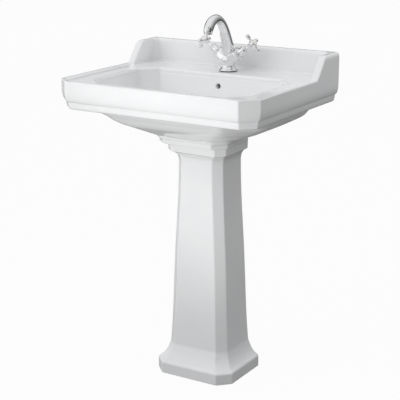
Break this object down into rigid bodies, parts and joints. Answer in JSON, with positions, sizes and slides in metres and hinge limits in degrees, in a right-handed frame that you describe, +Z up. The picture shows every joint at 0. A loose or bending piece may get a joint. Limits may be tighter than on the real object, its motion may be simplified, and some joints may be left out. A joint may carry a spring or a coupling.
{
  "type": "pedestal basin",
  "caption": "White ceramic washbasin with cut corners and a back upstand on a full pedestal, with a crosshead mixer tap, click waste, trap and supplies.",
  "frame": {"origin": "on the floor, below the middle of the basin's plan, which is also the middle of the whole object's bounding box", "axes": "+Z up, +X to the right for a person facing the basin, +Y towards the wall, so the front faces -Y"},
  "size_m": [0.595, 0.475, 0.9957],
  "materials": {
    "glaze": "smooth glossy white glaze",
    "chrome": "polished chrome plate",
    "brass": "plain machined brass",
    "copper": null,
    "steel": "plain stainless steel",
    "rubber": "black sealing rubber",
    "plastic": "white moulded plastic",
    "disc_ceramic": "lapped technical ceramic",
    "enamel": "glossy white index button"
  },
  "bodies": {
    "fixed": {"basin": "glaze", "pedestal": "glaze", "tap_body": "chrome", "tap_gasket": "rubber", "spout": "chrome", "aerator_housing": "chrome", "aerator_screen": "plastic", "fixing_stud": "brass", "fixing_gasket": "rubber", "fixing_washer": "steel", "fixing_nut": "brass", "hot_bonnet": "chrome", "hot_fixed_disc": "disc_ceramic", "hot_tail": "copper", "hot_tail_nut": "brass", "hot_isolator_body": "brass", "hot_supply_nut": "brass", "hot_supply_pipe": "copper", "cold_bonnet": "chrome", "cold_fixed_disc": "disc_ceramic", "cold_tail": "copper", "cold_tail_nut": "brass", "cold_isolator_body": "brass", "cold_supply_nut": "brass", "cold_supply_pipe": "copper", "waste_body": "chrome", "waste_top_seal": "rubber", "waste_back_seal": "rubber", "waste_backnut": "brass", "waste_click_cartridge": "brass", "trap_inlet_nut": "plastic", "trap_inlet_seal": "rubber", "trap_body": "plastic", "trap_dip_tube": "plastic", "trap_cup": "plastic", "trap_cup_seal": "rubber", "trap_outlet_nut": "plastic", "waste_pipe": "plastic", "wall_bolt_left": "steel", "wall_washer_left": "plastic", "wall_nut_left": "steel", "floor_screw_left": "steel", "wall_bolt_right": "steel", "wall_washer_right": "plastic", "wall_nut_right": "steel", "floor_screw_right": "steel"},
    "hot_handle": {"hot_spindle": "chrome", "hot_turning_disc": "disc_ceramic", "hot_crosshead": "chrome", "hot_handle_screw": "steel", "hot_index_cap": "enamel"},
    "cold_handle": {"cold_spindle": "chrome", "cold_turning_disc": "disc_ceramic", "cold_crosshead": "chrome", "cold_handle_screw": "steel", "cold_index_cap": "enamel"},
    "plug": {"waste_plug": "chrome"},
    "hot_isolator_ball": {"hot_isolator_screw": "steel"},
    "cold_isolator_ball": {"cold_isolator_screw": "steel"}
  },
  "joints": [
    {"name": "hot_handle_turn", "type": "hinge", "parent": "fixed", "child": "hot_handle", "pos_m": [0, 0.1605, 0.8656], "axis": [-0.8387, 0, 0.5446], "range_deg": [0, 90]},
    {"name": "cold_handle_turn", "type": "hinge", "parent": "fixed", "child": "cold_handle", "pos_m": [0, 0.1605, 0.8656], "axis": [0.8387, 0, 0.5446], "range_deg": [-90, 0]},
    {"name": "waste_plug_press", "type": "slide", "parent": "fixed", "child": "plug", "axis": [0, 0, -1], "range_m": [0, 0.008]},
    {"name": "hot_isolator_turn", "type": "hinge", "parent": "fixed", "child": "hot_isolator_ball", "pos_m": [-0.042, 0.0955, 0.322], "axis": [0, 1, 0], "range_deg": [0, 90]},
    {"name": "cold_isolator_turn", "type": "hinge", "parent": "fixed", "child": "cold_isolator_ball", "pos_m": [0.042, 0.0955, 0.322], "axis": [0, 1, 0], "range_deg": [0, 90]}
  ]
}
